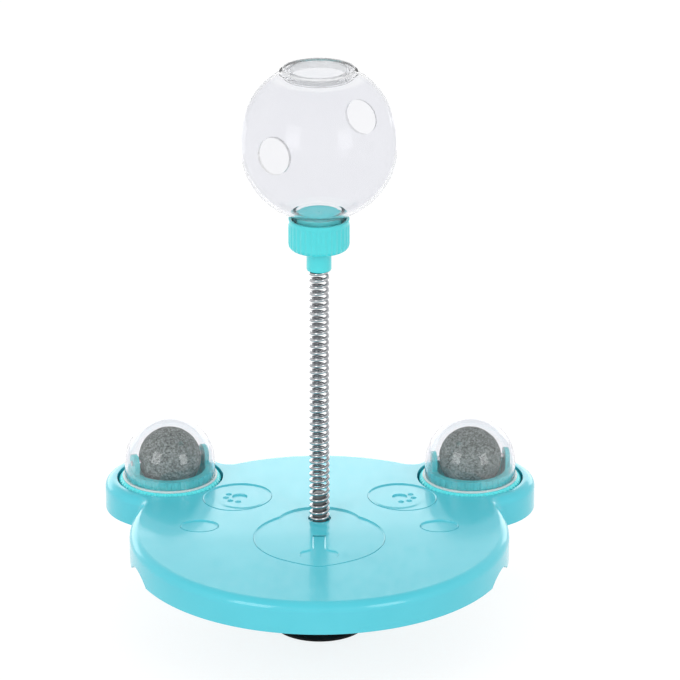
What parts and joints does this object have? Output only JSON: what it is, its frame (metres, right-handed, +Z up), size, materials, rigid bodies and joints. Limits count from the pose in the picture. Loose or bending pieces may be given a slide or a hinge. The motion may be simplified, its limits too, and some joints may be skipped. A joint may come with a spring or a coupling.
{
  "type": "suction cup treat ball",
  "caption": "Clear treat ball on a swaying coil spring mast over a round plate with ears, domed catnip balls and a suction cup foot.",
  "frame": {"origin": "centre of the suction cup's foot on the floor, on the axis of the spring mast", "axes": "+Z up along the mast, -Y to the front of the face on the plate, ears at the back (+Y), +X to the right seen from the front"},
  "size_m": [0.2234, 0.1942, 0.2965],
  "materials": {
    "aqua": "gloss",
    "black_rubber": "satin",
    "white_plug": "matte",
    "zinc_steel": "bright",
    "spring_steel": "bright",
    "clear_ball": "clear gloss",
    "clear_dome": "clear gloss",
    "pressed_catnip": "pressed and speckled"
  },
  "bodies": {
    "base": {"base_plate": "aqua", "suction_cup": "black_rubber", "lower_plug": "white_plug", "lower_washer": "zinc_steel", "lower_screw": "zinc_steel"},
    "mast": {"mast_spring": "spring_steel"},
    "head": {"upper_plug": "white_plug", "upper_washer": "zinc_steel", "upper_screw": "zinc_steel", "ball_collar": "aqua", "collar_cap": "aqua"},
    "ball": {"treat_ball": "clear_ball"},
    "cap": {"fill_cap": "clear_ball"},
    "left_tray": {"left_holder": "aqua", "left_pivot_washer": "zinc_steel", "left_pivot_screw": "zinc_steel"},
    "left_catnip": {"left_catnip_ball": "pressed_catnip", "left_catnip_axle": "zinc_steel"},
    "left_dome": {"left_dust_dome": "clear_dome"},
    "right_tray": {"right_holder": "aqua", "right_pivot_washer": "zinc_steel", "right_pivot_screw": "zinc_steel"},
    "right_catnip": {"right_catnip_ball": "pressed_catnip", "right_catnip_axle": "zinc_steel"},
    "right_dome": {"right_dust_dome": "clear_dome"}
  },
  "joints": [
    {"name": "sway_side", "type": "hinge", "parent": "base", "child": "mast", "pos_m": [0, 0, 0.082], "axis": [0, 1, 0], "range_deg": [-40, 40], "stiffness_Nm_per_rad": 0.4, "deforming": ["mast_spring"]},
    {"name": "sway_fore", "type": "hinge", "parent": "mast", "child": "head", "pos_m": [0, 0, 0.15], "axis": [1, 0, 0], "range_deg": [-40, 40], "stiffness_Nm_per_rad": 0.3, "deforming": ["mast_spring"]},
    {"name": "ball_lift", "type": "slide", "parent": "head", "child": "ball", "axis": [0, 0, 1], "range_m": [0, 0.02]},
    {"name": "cap_lift", "type": "slide", "parent": "ball", "child": "cap", "axis": [0, 0, 1], "range_m": [0, 0.015]},
    {"name": "left_tray_turn", "type": "hinge", "parent": "base", "child": "left_tray", "pos_m": [-0.078, 0.053, 0.05], "axis": [0, 0, 1], "continuous": true},
    {"name": "left_catnip_roll", "type": "hinge", "parent": "left_tray", "child": "left_catnip", "pos_m": [-0.078, 0.053, 0.0693], "axis": [0.9232, 0.3843, 0], "continuous": true},
    {"name": "left_dome_lift", "type": "slide", "parent": "left_tray", "child": "left_dome", "axis": [0, 0, 1], "range_m": [0, 0.04]},
    {"name": "right_tray_turn", "type": "hinge", "parent": "base", "child": "right_tray", "pos_m": [0.078, 0.053, 0.05], "axis": [0, 0, 1], "continuous": true},
    {"name": "right_catnip_roll", "type": "hinge", "parent": "right_tray", "child": "right_catnip", "pos_m": [0.078, 0.053, 0.0693], "axis": [0.988, 0.1547, 0], "continuous": true},
    {"name": "right_dome_lift", "type": "slide", "parent": "right_tray", "child": "right_dome", "axis": [0, 0, 1], "range_m": [0, 0.04]}
  ]
}
